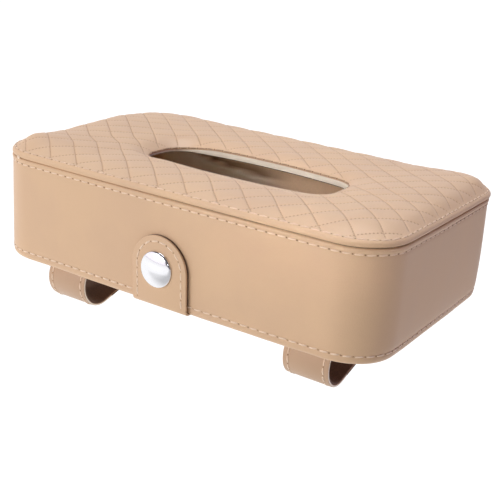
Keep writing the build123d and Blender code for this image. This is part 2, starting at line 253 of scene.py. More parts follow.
def makeCloth(name, colour, pitch, depth, rough, fleck):
    # woven or napped cloth: two crossed rib patterns and loose fibre, with painted light making it paler and
    # greyer where the fold hangs slack and a painted shadow making it browner in the hollow above
    f = Finish(name, Specular_IOR_Level=0.2, Sheen_Weight=0.25, Sheen_Roughness=0.6)
    place = f.place()
    slack = f.node("ShaderNodeAttribute", {"attribute_name": "slack"}, out=2)
    paintedShade = f.node("ShaderNodeAttribute", {"attribute_name": "paintedShade"}, out=2)
    x, y, z = f.axes(place)
    rib = f.sum("SINE", (x + y) * (6.283 / pitch)) * f.sum("SINE", (z + y * 0.5 - x * 0.5) * (6.283 / pitch))
    fibre = f.noise(place, 900.0, 3.0, 0.7)
    patch = f.noise(place, 35.0, 3.0, 0.6)
    tint = f.blendColour(f.ease(fibre, 0.3, 0.7, 0.0, fleck), colour, shade(colour, 0.55))
    tint = f.blendColour(f.ease(patch, 0.3, 0.7, 0.0, 0.25), tint, shade(colour, 1.25))
    # painted light on the slack fold, then painted shadow above it
    tint = f.blendColour(slack, tint, tone(246, 238, 220))
    tint = f.blendColour(paintedShade, tint, tone(128, 96, 68))
    normal = f.bump(rib * 0.5 + fibre, depth, 0.7)
    return f.use(Base_Color=tint, Roughness=rough + patch * 0.08, Normal=normal)


def makeSuede(name, colour):
    f = Finish(name, Specular_IOR_Level=0.25, Sheen_Weight=0.3, Sheen_Roughness=0.5)
    place = f.place()
    nap = f.noise(place, 1300.0, 4.0, 0.65)
    patch = f.noise(place, 60.0, 3.0, 0.6)
    tint = f.blendColour(f.ease(nap, 0.35, 0.7), shade(colour, 0.7), shade(colour, 1.3))
    tint = f.blendColour(f.ease(patch, 0.35, 0.65, 0.0, 0.4), tint, shade(colour, 0.75))
    return f.use(Base_Color=tint, Roughness=0.82 + patch * 0.1, Normal=f.bump(nap, 0.00012, 0.6))


def makeBoard(name, colour):
    f = Finish(name, Specular_IOR_Level=0.2)
    place = f.place()
    chips = f.cells(place, 420.0)
    fibre = f.noise(place, 800.0, 4.0, 0.7)
    tint = f.blendColour(f.ease(chips, 0.1, 0.6), shade(colour, 0.75), colour)
    tint = f.blendColour(f.ease(fibre, 0.4, 0.7, 0.0, 0.35), tint, shade(colour, 1.3))
    return f.use(Base_Color=tint, Roughness=0.8 + fibre * 0.1, Normal=f.bump(fibre, 0.0001, 0.5))


def makeFoam(name, colour):
    f = Finish(name, Specular_IOR_Level=0.2)
    place = f.place()
    holes = f.cells(place, 900.0)
    tint = f.blendColour(f.ease(holes, 0.05, 0.4), shade(colour, 0.6), colour)
    return f.use(Base_Color=tint, Roughness=0.85 + holes * 0.1, Normal=f.bump(holes, 0.0003, 0.8))


def makeTrim(name, colour):
    # smooth moulded strip with faint draw lines and dust
    f = Finish(name, Specular_IOR_Level=0.45)
    place = f.place()
    x, y, z = f.axes(place)
    draw = f.noise(place, 500.0, 2.0, 0.5)
    patch = f.noise(place, 45.0, 3.0, 0.6)
    tint = f.blendColour(f.ease(patch, 0.35, 0.7, 0.0, 0.35), colour, shade(colour, 0.8))
    return f.use(Base_Color=tint, Roughness=0.5 + draw * 0.12, Normal=f.bump(draw, 0.00004, 0.4))


def makeMetal(name, colour, rough, scratch):
    f = Finish(name, Metallic=1.0)
    place = f.place()
    fine = f.noise(place, 2600.0, 2.0, 0.6)
    smear = f.noise(place, 120.0, 3.0, 0.6)
    tint = f.blendColour(f.ease(smear, 0.35, 0.7, 0.0, 0.25), colour, shade(colour, 0.85))
    gloss = rough + f.ease(smear, 0.3, 0.7, 0.0, scratch)
    return f.use(Base_Color=tint, Roughness=gloss, Normal=f.bump(fine, 0.000004, 0.25))


def makePile(name, colour, cell):
    # short dense pile of the hook-and-loop patches
    f = Finish(name, Specular_IOR_Level=0.2, Sheen_Weight=0.4, Sheen_Roughness=0.5)
    place = f.place()
    tufts = f.cells(place, cell)
    fuzz = f.noise(place, 1500.0, 3.0, 0.7)
    tint = f.blendColour(f.ease(tufts, 0.05, 0.45), shade(colour, 1.8), shade(colour, 0.5))
    return f.use(Base_Color=tint, Roughness=0.85 + fuzz * 0.1, Normal=f.bump(fuzz * 0.5 - tufts, 0.0006, 0.9))


def makeThread(name, colour):
    f = Finish(name, Specular_IOR_Level=0.35, Sheen_Weight=0.2, Sheen_Roughness=0.4)
    place = f.place()
    x, y, z = f.axes(place)
    ply = f.sum("SINE", (x + y * 0.8 + z * 1.4) * 9.0)
    fuzz = f.noise(place, 2400.0, 3.0, 0.7)
    # painted shade: the thread is darker in the troughs between its plies
    tint = f.blendColour(f.ease(ply, -0.6, 0.8), shade(colour, 0.86), colour)
    return f.use(Base_Color=tint, Roughness=0.6 + fuzz * 0.15, Normal=f.bump(ply + fuzz, 0.00006, 0.6))


floorLook = {
    "height": -0.14,
    "reach": 14.0,
    "spread": 0.2515,  # half the picture's width on the floor, per metre away from the camera
    "nearSpread": 0.028,
    "dim": 0.5,
    "nearLeft": 0.74,
}


def makeFloor(name, look, camera):
    # paper sweep that glows with painted light: its emission is bright behind the holder and to its left, dimmer in
    # front and to the right
    f = Finish(name, Emission_Strength=1.0)
    place = f.place()
    x, y, z = f.axes(place)
    s, c = math.sin(camera["yaw"]), math.cos(camera["yaw"])
    east, north = x * mm - camera["place"][0], y * mm - camera["place"][1]
    away = north * c - east * s
    right = east * c + north * s
    aside = right - away * look["spread"] - look["nearSpread"]
    distance = (x * x + y * y) ** 0.5 * mm
    left = f.ease(right, -0.1, -0.3, look["dim"], 1.0) * f.ease(distance, 0.36, 0.46, look["nearLeft"], 1.0)
    near = f.sum("MAXIMUM", f.ease(away, 0.28, 0.43, look["dim"], 1.0), left)
    pool = f.sum("MINIMUM", f.ease(aside, 0.05, 0.3, 1.0, look["dim"]), near)
    patch = f.noise(place, 3.0, 2.0, 0.5)
    tint = f.blendColour(patch, (0.10, 0.10, 0.10, 1.0), (0.12, 0.12, 0.12, 1.0))
    return f.use(Base_Color=tint, Emission_Color=pool, Roughness=0.8)


threadTone = tone(253, 226, 199)
finishes = {
    "leather": makeLeather("tanLeather", leatherLook),
    "quilted_leather": makeQuiltedLeather("quiltedTanLeather", leatherLook, quiltLook),
    "dark_backing": makeSuede("darkSuede", tone(98, 68, 48)),
    "cream_trim": makeTrim("creamTrim", tone(244, 234, 216)),
    "lining_cloth": makeCloth("liningCloth", tone(250, 220, 184), 0.8, 0.0002, 0.85, 0.15),
    "board": makeBoard("fibreBoard", tone(160, 140, 115)),
    "foam": makeFoam("lidFoam", tone(235, 228, 205)),
    "chrome": makeMetal("polishedChrome", (0.86, 0.86, 0.88, 1.0), 0.07, 0.05),
    "steel": makeMetal("platedSteel", (0.62, 0.62, 0.64, 1.0), 0.28, 0.15),
    "hook_and_loop": makePile("hookAndLoop", tone(70, 52, 40), 700.0),
}
# the straps' leather is the case's tan leather made darker, as painted shade for the straps under the box
shadedStrapLeather = makeLeather("shadedStrapLeather", dict(leatherLook, tan=tone(189, 156, 127), warm=tone(192, 159, 129)))
threadFinish = makeThread("creamThread", threadTone)
threadDark = makeThread("shadedThread", tone(196, 160, 128))
threadSoft = makeThread("tanThread", tone(238, 206, 176))
# needle holes are small discs on the surface whose brown is painted shade standing for the holes
holeFinish = makeSuede("needleHole", tone(160, 118, 86))
holePale = makeSuede("paleNeedleHole", tone(186, 148, 114))
# cream cut edge, brightened nearly to white as a painted highlight
creamEdgeHighlight = makeTrim("creamCutEdgeHighlight", tone(252, 240, 224))

for entry in frame["record"]["subparts"]:
    part = frame["nodes"][entry["node"]]
    if part.material_slots:
        part.material_slots[0].material = finishes[entry["material_slot"]]
    else:
        part.data.materials.append(finishes[entry["material_slot"]])
print("finishes made")


# outlines seen from above: four bowed sides and round corners, in millimetres
caseShape = {"length": 230.0, "depth": 142.0, "sideBow": 1.5, "endBow": 0.6, "corner": 24.5, "middleX": 0.0, "middleY": 0.0}
slotShape = {"length": 112.4, "depth": 32.0, "sideBow": 6.0, "endBow": 1.0, "corner": 14.0, "middleX": 3.4, "middleY": -7.5}


def outlineArcs(shape, grow=0.0):
    # arcs from the middle of the front side round to it again, turning left seen from above
    longRadius = (shape["length"] ** 2 / 4 + shape["sideBow"] ** 2) / (2 * shape["sideBow"])
    endRadius = (shape["depth"] ** 2 / 4 + shape["endBow"] ** 2) / (2 * shape["endBow"])
    longMiddle = longRadius - shape["depth"] / 2 - shape["sideBow"]
    endMiddle = endRadius - shape["length"] / 2 - shape["endBow"]
    r = shape["corner"]
    # corner circle touches both sides from inside
    reachLong, reachEnd = longRadius - r, endRadius - r
    gap = math.hypot(longMiddle, endMiddle)
    along = (reachLong**2 - reachEnd**2 + gap**2) / (2 * gap)
    off = math.sqrt(reachLong**2 - along**2)
    ux, uy = -endMiddle / gap, longMiddle / gap
    cx = ux * along + uy * off
    cy = -longMiddle + uy * along - ux * off
    if cx < 0 or cy < 0:
        cx, cy = ux * along - uy * off, -longMiddle + uy * along + ux * off
    a = math.atan2(cy + longMiddle, cx)
    b = math.atan2(cy, cx + endMiddle)
    x0, y0 = shape["middleX"], shape["middleY"]
    quarter = math.pi / 2
    return [
        ((x0, y0 + longMiddle), longRadius + grow, -quarter, quarter - a, "side"),
        ((x0 + cx, y0 - cy), r + grow, -a, a - b, "corner"),
        ((x0 - endMiddle, y0), endRadius + grow, -b, 2 * b, "end"),
        ((x0 + cx, y0 + cy), r + grow, b, a - b, "corner"),
        ((x0, y0 - longMiddle), longRadius + grow, a, math.pi - 2 * a, "back"),
        ((x0 - cx, y0 + cy), r + grow, math.pi - a, a - b, "corner"),
        ((x0 + endMiddle, y0), endRadius + grow, math.pi - b, 2 * b, "end"),
        ((x0 - cx, y0 - cy), r + grow, math.pi + b, a - b, "corner"),
        ((x0, y0 + longMiddle), longRadius + grow, math.pi + a, quarter - a, "side"),
    ]


for shape in (caseShape, slotShape):
    shape["arcs"] = outlineArcs(shape)


def outlinePlaces(shape, grow, pitch, first=0.5):
    # places spaced evenly along the outline: point, and the way outwards
    arcs = outlineArcs(shape, grow)
    total = sum(arc[1] * arc[3] for arc in arcs)
    count = round(total / pitch)
    step = total / count
    places = []
    for k in range(count):
        run = (k + first) * step
        for centre, radius, start, sweep, kind in arcs:
            if run <= radius * sweep:
                angle = start + run / radius
                out = Vector((math.cos(angle), math.sin(angle), 0.0))
                places.append((Vector((centre[0], centre[1], 0.0)) + out * radius, out))
                break
            run -= radius * sweep
    return places


def insetFrom(shape, x, y):
    # how far inside the outline a point lies, in millimetres
    x0, y0 = shape["middleX"], shape["middleY"]
    sideArc, endArc, cornerArc = shape["arcs"][0], shape["arcs"][2], shape["arcs"][3]
    px, py = abs(x - x0), abs(y - y0)
    cx, cy = px - (cornerArc[0][0] - x0), py - (cornerArc[0][1] - y0)
    if cornerArc[2] < math.atan2(cy, cx) < cornerArc[2] + cornerArc[3]:
        return cornerArc[1] - math.hypot(cx, cy)
    fromSide = sideArc[1] - math.hypot(px, py + sideArc[0][1] - y0)
    fromEnd = endArc[1] - math.hypot(px - (endArc[0][0] - x0), py)
    return min(fromSide, fromEnd)


# small helpers round the modelling operators
def deselectAll():
    if bpy.context.object and bpy.context.object.mode != "OBJECT":
        bpy.ops.object.mode_set(mode="OBJECT")
    bpy.ops.object.select_all(action="DESELECT")


def startPoint(name, place):
    # a plane drawn together to one vertex, ready to be extruded
    deselectAll()
    bpy.ops.mesh.primitive_plane_add(size=0.002)
    piece = bpy.context.object
    piece.name = name
    piece.data.name = name
    bpy.ops.object.mode_set(mode="EDIT")
    bpy.ops.mesh.merge(type="CENTER")
    bpy.ops.transform.translate(value=tuple(c * mm for c in place))
    return piece


def drawOn(fromPlace, places):
    # extrudes the last vertex, edge or ring from place to place
    last = Vector(fromPlace)
    for place in places:
        step = (Vector(place) - last) * mm
        bpy.ops.mesh.extrude_region_move(TRANSFORM_OT_translate={"value": tuple(step)})
        last = Vector(place)


def sweepOutline(shape, steps):
    # spins the selected section along the whole outline, and closes it on itself
    for centre, radius, start, sweep, kind in shape["arcs"]:
        bpy.ops.mesh.spin(
            steps=steps[kind], angle=sweep, center=(centre[0] * mm, centre[1] * mm, 0.0), axis=(0, 0, -1)
        )
    bpy.ops.mesh.select_all(action="SELECT")
    bpy.ops.mesh.remove_doubles(threshold=0.00002)


def sectionRing(name, shape, section, steps, closed=True):
    # section points are (outwards from the outline, height)
    front = shape["arcs"][0]
    y0 = front[0][1] - front[1]
    places = [(front[0][0], y0 - out, z) for out, z in section]
    piece = startPoint(name, places[0])
    drawOn(places[0], places[1:])
    if closed:
        bpy.ops.mesh.select_all(action="SELECT")
        bpy.ops.mesh.edge_face_add()
        bpy.ops.mesh.delete(type="ONLY_FACE")
    bpy.ops.mesh.select_all(action="SELECT")
    sweepOutline(shape, steps)
    return piece


def selectWhere(piece, kind, test):
    # picks vertices, edges or faces by a test on them, in edit mode
    bpy.ops.mesh.select_all(action="DESELECT")
    mesh = bmesh.from_edit_mesh(piece.data)
    for item in getattr(mesh, kind):
        if test(item):
            item.select_set(True)
    mesh.select_flush_mode()
    bmesh.update_edit_mesh(piece.data)


def closePiece(piece, finish, angle=40.0):
    bpy.ops.object.mode_set(mode="EDIT")
    bpy.ops.mesh.select_all(action="SELECT")
    bpy.ops.mesh.remove_doubles(threshold=0.000005)
    bpy.ops.mesh.normals_make_consistent(inside=False)
    bpy.ops.object.mode_set(mode="OBJECT")
    bpy.ops.object.shade_smooth_by_angle(angle=math.radians(angle))
    piece.data.materials.clear()
    piece.data.materials.append(finish)
    return piece


def applyModifier(piece, kind, **settings):
    deselectAll()
    piece.select_set(True)
    bpy.context.view_layer.objects.active = piece
    modifier = piece.modifiers.new(kind.title(), kind)
    for key, value in settings.items():
        setattr(modifier, key, value)
    bpy.ops.object.modifier_apply(modifier=modifier.name)


def unevenly(piece, amount, wavelength, seed, flat=(1, 1, 1)):
    # slow unevenness of real leather, along each vertex normal
    for vertex in piece.data.vertices:
        spot = vertex.co / (wavelength * mm) + Vector((seed, seed * 2, seed * 3))
        push = noise.noise(spot) * amount * mm
        vertex.co += Vector(n * push * k for n, k in zip(vertex.normal, flat))
    piece.data.update()


# one stitch, copied along every row
stitchSize = {"length": 3.9, "width": 0.85, "rise": 0.42}


def makeStitchModel(look):
    deselectAll()
    bpy.ops.mesh.primitive_uv_sphere_add(segments=8, ring_count=6, radius=0.5 * mm, rotation=(0, math.radians(90), 0))
    bpy.ops.object.transform_apply(location=True, rotation=True, scale=True)
    model = bpy.context.object
    model.name = "stitchModel"
    reach = look["length"] / 2 - 0.5
    bpy.ops.object.mode_set(mode="EDIT")
    for side in (1, -1):
        selectWhere(model, "verts", lambda v: v.co.x * side > 0.00005)
        bpy.ops.transform.translate(value=(side * reach * mm, 0, 0))
    bpy.ops.mesh.select_all(action="SELECT")
    bpy.ops.transform.resize(value=(1.0, look["width"], look["rise"] * 2))
    selectWhere(model, "verts", lambda v: abs(v.co.x) > (reach + 0.1) * mm)
    bpy.ops.transform.translate(value=(0, 0, -0.22 * mm))
    bpy.ops.object.mode_set(mode="OBJECT")
    return model


def makeHoleModel():
    deselectAll()
    bpy.ops.mesh.primitive_uv_sphere_add(segments=8, ring_count=4, radius=0.42 * mm)
    bpy.ops.object.mode_set(mode="EDIT")
    bpy.ops.mesh.select_all(action="SELECT")
    bpy.ops.transform.resize(value=(1.0, 1.0, 0.4))
    bpy.ops.object.mode_set(mode="OBJECT")
    model = bpy.context.object
    model.name = "holeModel"
    return model


def copiesAlong(name, model, frames, finish):
    # frames are (point in mm, way along, way out of the surface)
    row = bmesh.new()
    for k, (point, along, out) in enumerate(frames):
        wobble = noise.noise(Vector((point[0] * 0.37, point[1] * 0.41, point[2] * 0.53 + k)))
        side = out.cross(along).normalized()
        turned = (along.normalized() + side * (0.07 + 0.06 * wobble)).normalized()
        side = out.cross(turned).normalized()
        basis = Matrix((turned, side, out.normalized())).transposed().to_4x4()
        copy = model.data.copy()
        copy.transform(Matrix.Translation(Vector(point) * mm) @ basis)
        row.from_mesh(copy)
        bpy.data.meshes.remove(copy)
    mesh = bpy.data.meshes.new(name)
    row.to_mesh(mesh)
    row.free()
    piece = bpy.data.objects.new(name, mesh)
    scene.collection.objects.link(piece)
    deselectAll()
    piece.select_set(True)
    bpy.context.view_layer.objects.active = piece
    bpy.ops.object.shade_smooth()
    mesh.materials.append(finish)
    return piece


stitchModel = makeStitchModel(stitchSize)
holeModel = makeHoleModel()


def outlineFrames(shape, grow, z, pitch, first=0.5, tilt=0.0, shift=None):
    # tilt turns the surface from upright, 0, to facing up, 90, or down, -90
    frames = []
    for point, out in outlinePlaces(shape, grow, pitch, first):
        along = Vector((-out.y, out.x, 0.0))
        face = out * math.cos(math.radians(tilt)) + Vector((0, 0, math.sin(math.radians(tilt))))
        place = Vector((point.x, point.y, z))
        if shift:
            place += shift(*place)
        frames.append((place, along, face))
    return frames


def sewOutline(name, shape, grow, z, pitch, tilt, body, thread=threadFinish, hole=holeFinish, shift=None):
    rows = (("Thread", stitchModel, 0.5, thread), ("Holes", holeModel, 0.0, hole))
    for kind, model, first, finish in rows:
        frames = outlineFrames(shape, grow, z, pitch, first, tilt, shift)
        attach(copiesAlong(name + kind, model, frames, finish), body)


def fadeIn(value, start, end):
    t = min(max((value - start) / (end - start), 0.0), 1.0)
    return t * t * (3 - 2 * t)


# side wall: leather drawn over the board, a stitched fold at the top and a stitched hem below
wallLook = {
    "steps": {"side": 40, "back": 80, "end": 44, "corner": 16},
    "section": [
        (-1.0, 53.3), (-0.8, 53.6), (-0.4, 53.7), (0.05, 53.6), (0.42, 53.2), (0.56, 52.7), (0.5, 52.1),
        (0.24, 51.5), (-0.08, 51.0), (-0.14, 50.7), (-0.06, 50.3), (0.08, 49.7), (0.14, 48.6), (0.16, 46.0),
        (0.2, 40.0), (0.22, 32.0), (0.22, 24.0), (0.2, 16.0), (0.16, 10.0), (0.12, 7.0), (0.06, 5.6),
        (-0.06, 4.8), (-0.12, 4.3), (-0.06, 3.8), (0.06, 3.2), (0.06, 2.6), (-0.06, 1.9), (-0.35, 1.2),
        (-0.85, 0.55), (-1.5, 0.15), (-2.2, 0.02), (-3.2, 0.0), (-3.9, 0.1), (-4.05, 0.5), (-3.9, 0.95),
        (-3.0, 1.0), (-1.6, 1.0), (-1.02, 1.3), (-1.0, 4.0), (-1.0, 30.0),
    ],
}


def settle(x, y, z):
    # the soft hem hangs a little below the boards, but is drawn up behind the tab and by the
    # hinge strip; the right end stands out a little, most of all low down
    behindTab = 1 - fadeIn(abs(x - 2.0), 12.5, 17.0) if y < 0 else 0.0
    byHinge = fadeIn(y, 48, 66)
    low = 1 - fadeIn(z, 4, 40)
    sag = (1.35 + 0.4 * fadeIn(-x, 60, 100) - 0.3 * fadeIn(x, 60, 100)) * (1 - behindTab) * (1 - byHinge) * low
    bulge = fadeIn(x, 92, 114) * (0.5 + 0.5 * fadeIn(-z, -50, -14) - 0.5 * fadeIn(-z, -9, -1))
    return Vector((bulge, 0.0, -sag))


wallLeather = sectionRing("wallLeather", caseShape, wallLook["section"], wallLook["steps"])
closePiece(wallLeather, finishes["leather"])
for v in wallLeather.data.vertices:
    v.co += settle(*(v.co / mm)) * mm
unevenly(wallLeather, 0.22, 34.0, 3.1)
unevenly(wallLeather, 0.08, 9.0, 7.7)
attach(wallLeather, "case")
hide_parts("wall_cover")
sewOutline("wallTop", caseShape, -0.02, 50.75, 5.25, 0.0, "case", shift=settle)
sewOutline("wallHem", caseShape, -0.02, 4.3, 5.25, 0.0, "case", hole=holePale, shift=settle)
print("wall leather and its stitching made")


# wall lining: cloth inside the walls, with a soft fold on the rear wall that shows in the slot, its light and shadow
# painted into the cloth's colour
liningLook = {
    "steps": {"side": 16, "back": 150, "end": 16, "corner": 8},
    "outer": -3.35,
    "inner": -4.1,
    "low": 1.05,
    "high": 53.1,
    "rows": 36,
    "fold": 4.0,
}


def crestAt(x):
    return 31.5 + 9.5 * math.exp(-max(x + 90, 0) / 22)


def foldOf(x, z):
    # the cloth stands out below a line that falls away to the right
    return fadeIn(crestAt(x) - z, -0.6, 0.9) * fadeIn(x, -118, -100) * (1 - fadeIn(x, -45, -15))


def makeWallLining(look):
    rise = (look["high"] - look["low"]) / look["rows"]
    inner = [(look["inner"], look["high"] - k * rise) for k in range(look["rows"] + 1)]
    section = [(look["outer"], look["low"]), (look["outer"], look["high"])] + inner
    lining = closePiece(sectionRing("wallLining", caseShape, section, look["steps"]), finishes["lining_cloth"])
    for v in lining.data.vertices:
        x, y, z = v.co / mm
        if y > 60 and insetFrom(caseShape, x, y) > 3.8:
            v.co.y -= look["fold"] * foldOf(x, z) * mm
    unevenly(lining, 0.4, 30.0, 9.1)
    # painted light where the fold hangs slack below its crest and painted shadow just above the crest, set into the
    # cloth's colour by height
    for name in ("slack", "paintedShade"):
        lining.data.attributes.new(name, "FLOAT", "POINT")
    slack, paintedShade = lining.data.attributes["slack"], lining.data.attributes["paintedShade"]
    for v in lining.data.vertices:
        x, y, z = v.co / mm
        over = z - crestAt(x)
        on = (y > 50) * fadeIn(x, -112, -96) * (1 - fadeIn(x, -40, -8))
        slack.data[v.index].value = 0.9 * on * (1 - fadeIn(over, -0.5, 0.7))
        paintedShade.data[v.index].value = 0.95 * on * fadeIn(over, -0.2, 0.8) * (1 - fadeIn(over, 0.8, 9))
    return lining


wallLining = makeWallLining(liningLook)
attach(wallLining, "case")
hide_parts("wall_lining")


# lid: quilted leather over foam, drawn down to the seam outside and into the slot inside
lidLook = {
    "rim": {"side": 22, "back": 44, "end": 26, "corner": 9},
    "lip": {"side": 22, "back": 44, "end": 6, "corner": 16},
    "rimSection": [
        (-1.2, 54.3), (-0.3, 54.2), (0.35, 54.4), (0.7, 54.95), (0.72, 55.6), (0.5, 56.25), (0.05, 56.85),
        (-0.6, 57.25), (-1.25, 57.35), (-1.8, 57.7),
    ],
    "lipSection": [(2.2, 59.2), (1.3, 58.8), (0.6, 58.3), (0.15, 57.75), (0.0, 57.2), (0.3, 56.9), (1.4, 56.85)],
    "rings": 18,
    "crown": 62.65,
    "rimInset": 1.8,
    "rimTop": 57.7,
    "rollWidth": 9.5,
    "frontRoll": 8.0,
    "lipTop": 57.6,
    "lipWidth": 8.0,
    "slack": 0.5,
    "reach": 0.45,
    "fuller": 0.35,
}


def lidHeight(x, y, look):
    # the skin rises steeply behind the seam at the rear and ends, and more slowly at the front;
    # the stitched lip draws the middle down, most of all in front of the slot
    inset = insetFrom(caseShape, x, y)
    out = -insetFrom(slotShape, x, y)
    front = fadeIn(-y, 20, 62)
    middle = 1 - fadeIn(abs(x), 60, 98)
    crown = look["crown"] - 1.75 * middle - 0.9 * fadeIn(-y, -10, 30)
    roll = min(max((inset - look["rimInset"]) / (look["rollWidth"] + look["frontRoll"] * front), 0.0), 1.0)
    edge = look["rimTop"] + (crown - look["rimTop"]) * (1 - (1 - roll) ** (2.6 - 0.5 * front))
    lip = min(max(out / look["lipWidth"], 0.0), 1.0)
    inner = look["lipTop"] + (crown - look["lipTop"]) * math.sqrt(max(1 - (1 - lip) ** 2, 0.0))
    return edge + inner - crown


def lipDrop(x, y, z):
    # the lip is sewn lower at the slot's left end, where it hides the ring, and along its front
    out = -insetFrom(slotShape, x, y)
    drop = 2.0 * fadeIn(-x, 28, 52) + 0.7 * fadeIn(-y, 10, 22) * fadeIn(x, -52, -28)
    return Vector((0.0, 0.0, -drop * (1 - fadeIn(out, 1.5, 9))))


# places where the foam stands fuller or slacker than the rest, as in the photograph:
# middle x and y, reach in x and y, height
foamLumps = [
    (-110, -54, 16, 13, 2.5), (-108, -22, 14, 8, -0.4), (-108, 20, 18, 16, 1.2), (-98, 62, 16, 18, -1.3),
    (-110, -10, 12, 12, 0.3), (84, 64, 18, 16, -0.2), (100, 64, 9, 9, 0.2), (112, 58, 8, 12, 2.8),
]


def lidSlack(x, y):
    height = 0.2 * noise.noise(Vector((x / 22, y / 22, 4.2)))
    for middleX, middleY, reachX, reachY, lump in foamLumps:
        height += lump * math.exp(-(((x - middleX) / reachX) ** 2) - ((y - middleY) / reachY) ** 2)
    return height


def quiltDrawn(x, y):
    # sewing the lip and the edge drew the rows in front of the slot towards the rear
    left = fadeIn(-x, 58, 95)
    return 4.0 * fadeIn(-y, 24 * left, 22 + 38 * left) * (1 - 0.7 * fadeIn(-y, 42, 66) * fadeIn(x, -60, 30))


def quiltRelief(x, y):
    y -= quiltDrawn(x, y)
    heights = []
    fraction = []
    for spacing, angle, start in quiltLook["sets"]:
        c, s = math.cos(math.radians(angle)), math.sin(math.radians(angle))
        across = (x - start) * -s + y * c
        off = abs(across - spacing * round(across / spacing))
        fraction.append(math.sin(math.pi * off / spacing))
        heights.append(off)
    pillow = 0.3 * (fraction[0] * fraction[1]) ** 0.6
    channel = 0.2 * math.exp(-((heights[0] / 0.6) ** 2)) + 0.07 * math.exp(-((heights[1] / 0.8) ** 2))
    return pillow - 0.2 - channel


def makeQuiltedLid(look):
    lid = sectionRing("quiltedLid", caseShape, look["rimSection"], look["rim"], closed=False)
    bpy.ops.object.mode_set(mode="OBJECT")
    lip = sectionRing("slotLip", slotShape, look["lipSection"], look["lip"], closed=False)
    bpy.ops.object.mode_set(mode="OBJECT")
    deselectAll()
    lip.select_set(True)
    lid.select_set(True)
    bpy.context.view_layer.objects.active = lid
    bpy.ops.object.join()
    bpy.ops.object.mode_set(mode="EDIT")
    top = {round(look["rimSection"][-1][1], 3), round(look["lipSection"][0][1], 3)}
    selectWhere(lid, "edges", lambda e: all(round(v.co.z / mm, 3) in top for v in e.verts) and e.is_boundary)
    bpy.ops.mesh.bridge_edge_loops(number_cuts=look["rings"], interpolation="LINEAR")
    bpy.ops.object.mode_set(mode="OBJECT")
    return lid


def settleFoam(lid, look):
    # foam pushes the skin up between the sewn edges: a short cloth run. What it adds is the
    # unevenness of the skin; the height of its middle stays as measured in the photograph
    bpy.ops.object.mode_set(mode="EDIT")
    bpy.ops.mesh.select_all(action="SELECT")
    bpy.ops.mesh.normals_make_consistent(inside=False)
    bpy.ops.object.mode_set(mode="OBJECT")
    held = lid.vertex_groups.new(name="sewn")
    rest = [v.co.copy() for v in lid.data.vertices]
    for v in lid.data.vertices:
        x, y = v.co.x / mm, v.co.y / mm
        sewn = insetFrom(caseShape, x, y) < 2.2 or -insetFrom(slotShape, x, y) < 2.4
        held.add([v.index], 1.0 if sewn else 0.0, "REPLACE")
        if not sewn:
            v.co.z -= look["slack"] * mm
    deselectAll()
    lid.select_set(True)
    bpy.context.view_layer.objects.active = lid
    cloth = lid.modifiers.new("Foam", "CLOTH")
    cloth.settings.quality = 6
    cloth.settings.mass = 0.4
    cloth.settings.tension_stiffness = 25
    cloth.settings.compression_stiffness = 25
    cloth.settings.bending_stiffness = 4
    cloth.settings.use_pressure = True
    cloth.settings.uniform_pressure_force = 3.0
    cloth.settings.vertex_group_mass = "sewn"
    cloth.settings.effector_weights.gravity = 0.0
    cloth.point_cache.frame_start = 1
    cloth.point_cache.frame_end = 20
    for step in range(1, 21):
        scene.frame_set(step)
    bpy.ops.object.modifier_apply(modifier=cloth.name)
    scene.frame_set(1)
    lid.vertex_groups.clear()
    moves = [v.co - was for v, was in zip(lid.data.vertices, rest)]
    free = [
        fadeIn(insetFrom(caseShape, p.x / mm, p.y / mm), 2.2, 14) * fadeIn(-insetFrom(slotShape, p.x / mm, p.y / mm), 2.4, 14)
        for p in rest
    ]
    level = sum(m.z * share for m, share in zip(moves, free)) / sum(free)
    print("foam moved the skin by", round(level / mm, 2), "mm on average")
    for v, was, move, share in zip(lid.data.vertices, rest, moves, free):
        move.z -= (level - look["fuller"] * mm) * share
        if move.length > look["reach"] * mm:
            move *= look["reach"] * mm / move.length
        v.co = was + move


quiltedLid = makeQuiltedLid(lidLook)
for v in quiltedLid.data.vertices:
    x, y = v.co.x / mm, v.co.y / mm
    inset, out = insetFrom(caseShape, x, y), -insetFrom(slotShape, x, y)
    if inset > 1.85 and out > 2.3:
        v.co.z = (lidHeight(x, y, lidLook) + lidSlack(x, y) * fadeIn(inset, 1.8, 8) * fadeIn(out, 1, 12)) * mm
    if v.co.z < 54.5 * mm and inset < 0.5:
        v.co.z -= 0.48 * mm * fadeIn(-x, -60, 50) * fadeIn(-y, 0, 60)
    v.co.x += settle(x, y, 54.0).x * mm + 0.4 * mm * fadeIn(x, 94, 114) * fadeIn(y, 30, 60)
    v.co.z += lipDrop(x, y, 57.0).z * mm
settleFoam(quiltedLid, lidLook)
applyModifier(quiltedLid, "SUBSURF", levels=2, render_levels=2)
closePiece(quiltedLid, finishes["quilted_leather"], 60.0)
quilting = quiltedLid.data.attributes.new("quilting", "FLOAT", "POINT")
drawn = quiltedLid.data.attributes.new("quiltDrawn", "FLOAT", "POINT")
quilting, drawn = quiltedLid.data.attributes["quilting"], quiltedLid.data.attributes["quiltDrawn"]
for v in quiltedLid.data.vertices:
    x, y = v.co.x / mm, v.co.y / mm
    inset, out = insetFrom(caseShape, x, y), -insetFrom(slotShape, x, y)
    quilting.data[v.index].value = fadeIn(inset, 1.6, 2.4) * fadeIn(out, 0.6, 2.2)
    drawn.data[v.index].value = quiltDrawn(x, y)
    v.co.z += quiltRelief(x, y) * fadeIn(inset, 1.2, 2.6) * fadeIn(out, 1.5, 7.0) * mm
quiltedLid.data.update()
print("lid has", len(quiltedLid.data.polygons), "faces")
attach(quiltedLid, "case")
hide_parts("lid_cover", "lid_padding")
sewOutline("lidEdge", caseShape, -1.0, 57.4, 5.25, 75.0, "case", threadSoft, holePale, settle)
